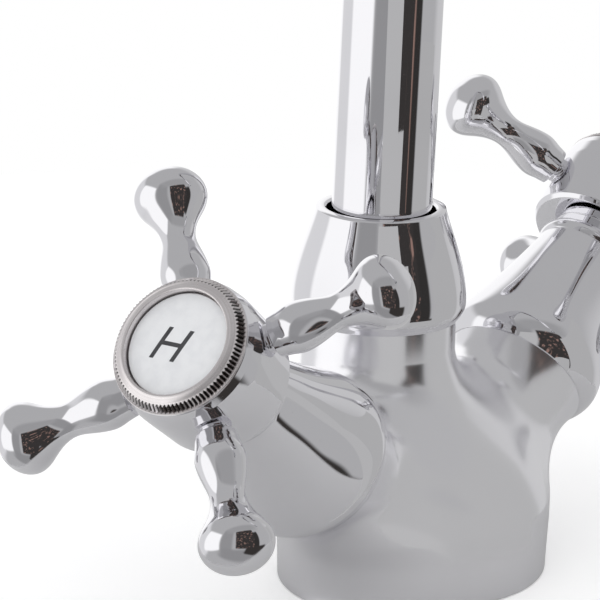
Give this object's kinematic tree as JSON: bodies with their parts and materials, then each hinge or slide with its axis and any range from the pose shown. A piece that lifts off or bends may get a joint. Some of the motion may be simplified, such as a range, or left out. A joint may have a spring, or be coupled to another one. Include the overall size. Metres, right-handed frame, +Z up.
{
  "type": "two handle kitchen faucet",
  "caption": "Chromed single-hole kitchen mixer faucet: swan-neck swivel spout on a skirted body, with two raised arms that each end in a cross handle with domed spokes.",
  "frame": {"origin": "centre of the round base's underside, where it stands on the sink deck", "axes": "+Z up out of the deck; -Y is the front, where the spout reaches at rest; +X towards the cold handle, -X towards the hot handle"},
  "size_m": [0.2013, 0.2105, 0.288],
  "materials": {
    "chrome": "bright polished plate",
    "satin_chrome": "satin, slightly warm",
    "porcelain": "white glaze",
    "brass": "turned",
    "nylon": "matt",
    "flow_plastic": "matt",
    "rubber": "matt",
    "alumina": "lapped",
    "steel": "plain"
  },
  "bodies": {
    "body": {"body_casting": "chrome", "base_seal": "rubber", "spout_collar": "chrome", "spout_bearing": "nylon", "hot_valve_body": "brass", "hot_valve_washer": "rubber", "hot_fixed_disc": "alumina", "hot_valve_shroud": "chrome", "cold_valve_body": "brass", "cold_valve_washer": "rubber", "cold_fixed_disc": "alumina", "cold_valve_shroud": "chrome"},
    "spout": {"spout_spigot": "brass", "spout_oring_lower": "rubber", "spout_oring_upper": "rubber", "spout_tube": "chrome", "outlet_ferrule": "chrome", "outlet_washer": "rubber", "aerator_housing": "chrome", "aerator_insert": "flow_plastic"},
    "hot_handle": {"hot_moving_disc": "alumina", "hot_spindle": "brass", "hot_stem_oring": "rubber", "hot_circlip": "steel", "hot_handle_hub": "chrome", "hot_handle_screw": "steel", "hot_cap_ring": "satin_chrome", "hot_index_disc": "porcelain", "hot_spoke_1": "chrome", "hot_spoke_2": "chrome", "hot_spoke_3": "chrome", "hot_spoke_4": "chrome"},
    "cold_handle": {"cold_moving_disc": "alumina", "cold_spindle": "brass", "cold_stem_oring": "rubber", "cold_circlip": "steel", "cold_handle_hub": "chrome", "cold_handle_screw": "steel", "cold_cap_ring": "satin_chrome", "cold_index_disc": "porcelain", "cold_spoke_1": "chrome", "cold_spoke_2": "chrome", "cold_spoke_3": "chrome", "cold_spoke_4": "chrome"}
  },
  "joints": [
    {"name": "spout_swivel", "type": "hinge", "parent": "body", "child": "spout", "pos_m": [0, 0.01, 0.05], "axis": [0, 0, 1], "continuous": true},
    {"name": "hot_handle_turn", "type": "hinge", "parent": "body", "child": "hot_handle", "pos_m": [0, 0, 0.003], "axis": [-0.8039, 0, 0.5948], "range_deg": [0, 90]},
    {"name": "cold_handle_turn", "type": "hinge", "parent": "body", "child": "cold_handle", "pos_m": [0, 0, 0.003], "axis": [0.8039, 0, 0.5948], "range_deg": [-90, 0]}
  ]
}
